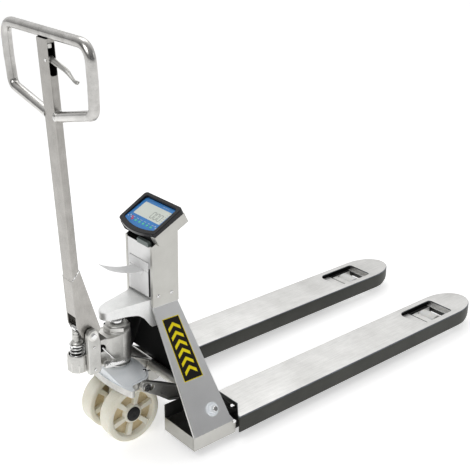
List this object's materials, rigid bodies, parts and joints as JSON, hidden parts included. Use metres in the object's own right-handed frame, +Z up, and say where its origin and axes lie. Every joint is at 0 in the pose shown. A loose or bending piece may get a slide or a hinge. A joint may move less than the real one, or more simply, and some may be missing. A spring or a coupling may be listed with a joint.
{
  "type": "pallet scale",
  "caption": "Hand pallet truck with weighing forks, a tilted indicator with printer on a column, a pump with steering wheels and a loop-handled tiller.",
  "frame": {"origin": "on the floor, under the middle of the bounding box", "axes": "+X towards the fork tips, +Y to the operator's left when facing the forks, +Z up"},
  "size_m": [1.6073, 0.558, 1.2399],
  "materials": {
    "stainless_sheet": "brushed",
    "black_steel": "satin black",
    "dark_steel": "matt dark grey",
    "cast_metal": "blasted",
    "pale_plate": "zinc plated",
    "bright_steel": "polished",
    "white_plastic": "fine grain",
    "paper": "matt",
    "black_plastic": "satin",
    "blue_film": "semi-gloss film",
    "display": "clear window over a grey display",
    "red_key": "semi-gloss",
    "green_key": "semi-gloss",
    "nylon": "turned nylon",
    "black_rubber": "matt"
  },
  "bodies": {
    "chassis": {"side_plate_right": "stainless_sheet", "side_plate_left": "stainless_sheet", "front_wall": "black_steel", "crosshead": "cast_metal", "lift_frame_right": "dark_steel", "lift_frame_left": "dark_steel", "fork_cover_right": "stainless_sheet", "fork_cover_left": "stainless_sheet", "load_cell_rear_right": "bright_steel", "load_cell_rear_left": "bright_steel", "load_cell_front_right": "bright_steel", "load_cell_front_left": "bright_steel", "column_shell": "stainless_sheet", "operator_panel": "white_plastic", "printer_body": "white_plastic", "paper": "paper", "indicator_bezel": "black_plastic", "key_film": "blue_film", "display_window": "display", "indicator_housing": "stainless_sheet", "side_bolt_right": "bright_steel", "side_bolt_left": "bright_steel", "piston_rod": "bright_steel", "roller_pivot_pin_right": "bright_steel", "roller_pivot_pin_left": "bright_steel"},
    "printer_lid": {"printer_lid": "white_plastic"},
    "base": {"base_plate": "pale_plate", "link_pin_right": "bright_steel", "link_pin_left": "bright_steel", "thrust_bearing": "bright_steel"},
    "rocker": {"rocker": "cast_metal"},
    "push_rod_right": {"push_rod_right": "dark_steel"},
    "push_rod_left": {"push_rod_left": "dark_steel"},
    "roller_frame_right": {"roller_frame_right": "dark_steel", "load_roller_axle_right": "bright_steel"},
    "roller_frame_left": {"roller_frame_left": "dark_steel", "load_roller_axle_left": "bright_steel"},
    "load_roller_right": {"load_roller_right": "nylon"},
    "load_roller_left": {"load_roller_left": "nylon"},
    "steering_unit": {"pump_body": "cast_metal", "wheel_yoke": "cast_metal", "wheel_axle": "bright_steel", "tiller_pin": "bright_steel"},
    "steering_wheel_right": {"steering_wheel_right": "nylon", "hub_cap_right": "black_rubber"},
    "steering_wheel_left": {"steering_wheel_left": "nylon", "hub_cap_left": "black_rubber"},
    "tiller": {"tiller_tube": "stainless_sheet", "handle_loop": "stainless_sheet", "press_roller": "bright_steel"},
    "plunger": {"plunger": "bright_steel", "plunger_spring": "stainless_sheet"},
    "release_pedal": {"release_pedal": "bright_steel"},
    "control_lever": {"control_lever": "bright_steel"},
    "key_power": {"key_power": "red_key"},
    "key_zero": {"key_zero": "green_key"},
    "key_tare": {"key_tare": "green_key"},
    "key_unit": {"key_unit": "green_key"},
    "key_print": {"key_print": "green_key"},
    "key_total": {"key_total": "green_key"}
  },
  "joints": [
    {"name": "lift", "type": "slide", "parent": "chassis", "child": "base", "axis": [0, 0, -1], "range_m": [0, 0.115]},
    {"name": "rocker_turn", "type": "hinge", "parent": "chassis", "child": "rocker", "pos_m": [-0.4274, 0, 0.107], "axis": [0, -1, 0], "range_deg": [0, 36.6]},
    {"name": "push_rod_slide_right", "type": "slide", "parent": "chassis", "child": "push_rod_right", "axis": [1, 0, 0], "range_m": [0, 0.0203]},
    {"name": "roller_frame_turn_right", "type": "hinge", "parent": "chassis", "child": "roller_frame_right", "pos_m": [0.4566, -0.2015, 0.038], "axis": [0, 1, 0], "range_deg": [0, 50.6]},
    {"name": "load_roller_spin_right", "type": "hinge", "parent": "roller_frame_right", "child": "load_roller_right", "pos_m": [0.6066, -0.2015, 0.037], "axis": [0, 1, 0], "continuous": true},
    {"name": "push_rod_slide_left", "type": "slide", "parent": "chassis", "child": "push_rod_left", "axis": [1, 0, 0], "range_m": [0, 0.0203]},
    {"name": "roller_frame_turn_left", "type": "hinge", "parent": "chassis", "child": "roller_frame_left", "pos_m": [0.4566, 0.2015, 0.038], "axis": [0, 1, 0], "range_deg": [0, 50.6]},
    {"name": "load_roller_spin_left", "type": "hinge", "parent": "roller_frame_left", "child": "load_roller_left", "pos_m": [0.6066, 0.2015, 0.037], "axis": [0, 1, 0], "continuous": true},
    {"name": "steer", "type": "hinge", "parent": "base", "child": "steering_unit", "pos_m": [-0.6184, 0, 0.24], "axis": [0, 0, 1], "range_deg": [-90, 90]},
    {"name": "steering_wheel_spin_right", "type": "hinge", "parent": "steering_unit", "child": "steering_wheel_right", "pos_m": [-0.6184, -0.05, 0.09], "axis": [0, 1, 0], "continuous": true},
    {"name": "steering_wheel_spin_left", "type": "hinge", "parent": "steering_unit", "child": "steering_wheel_left", "pos_m": [-0.6184, 0.05, 0.09], "axis": [0, 1, 0], "continuous": true},
    {"name": "tiller_tilt", "type": "hinge", "parent": "steering_unit", "child": "tiller", "pos_m": [-0.7254, 0, 0.38], "axis": [0, -1, 0], "range_deg": [0, 75], "stiffness_Nm_per_rad": 18, "springref_deg": -22.92},
    {"name": "plunger_stroke", "type": "slide", "parent": "steering_unit", "child": "plunger", "axis": [0, 0, -1], "range_m": [0, 0.04], "deforming": ["plunger_spring"]},
    {"name": "control_lever_pull", "type": "hinge", "parent": "tiller", "child": "control_lever", "pos_m": [-0.78657, -0.013, 1.15999], "axis": [-0.9989, 0, -0.0469], "range_deg": [0, 12], "stiffness_Nm_per_rad": 3, "springref_deg": -8.59},
    {"name": "release_pedal_turn", "type": "hinge", "parent": "steering_unit", "child": "release_pedal", "pos_m": [-0.6894, -0.055, 0.278], "axis": [0, 1, 0], "range_deg": [0, 12.2]},
    {"name": "printer_lid_swing", "type": "hinge", "parent": "chassis", "child": "printer_lid", "pos_m": [-0.5354, 0, 0.4418], "axis": [0, -1, 0], "range_deg": [0, 60]},
    {"name": "key_power_press", "type": "slide", "parent": "chassis", "child": "key_power", "axis": [0.4384, 0, -0.8988], "range_m": [0, 0.0005], "stiffness_N_per_m": 1500, "springref_m": -0.0002},
    {"name": "key_zero_press", "type": "slide", "parent": "chassis", "child": "key_zero", "axis": [0.4384, 0, -0.8988], "range_m": [0, 0.0005], "stiffness_N_per_m": 1500, "springref_m": -0.0002},
    {"name": "key_tare_press", "type": "slide", "parent": "chassis", "child": "key_tare", "axis": [0.4384, 0, -0.8988], "range_m": [0, 0.0005], "stiffness_N_per_m": 1500, "springref_m": -0.0002},
    {"name": "key_unit_press", "type": "slide", "parent": "chassis", "child": "key_unit", "axis": [0.4384, 0, -0.8988], "range_m": [0, 0.0005], "stiffness_N_per_m": 1500, "springref_m": -0.0002},
    {"name": "key_print_press", "type": "slide", "parent": "chassis", "child": "key_print", "axis": [0.4384, 0, -0.8988], "range_m": [0, 0.0005], "stiffness_N_per_m": 1500, "springref_m": -0.0002},
    {"name": "key_total_press", "type": "slide", "parent": "chassis", "child": "key_total", "axis": [0.4384, 0, -0.8988], "range_m": [0, 0.0005], "stiffness_N_per_m": 1500, "springref_m": -0.0002}
  ],
  "couplings": [
    {"joint": "rocker_turn", "follows": "lift", "rad_per_m": 5.5244},
    {"joint": "push_rod_slide_right", "follows": "lift", "ratio": 0.17391},
    {"joint": "roller_frame_turn_right", "follows": "lift", "rad_per_m": 7.6339},
    {"joint": "push_rod_slide_left", "follows": "lift", "ratio": 0.17391},
    {"joint": "roller_frame_turn_left", "follows": "lift", "rad_per_m": 7.6339},
    {"joint": "plunger_stroke", "follows": "tiller_tilt", "m_per_rad": 0.03033},
    {"joint": "release_pedal_turn", "follows": "control_lever_pull", "ratio": 1}
  ]
}
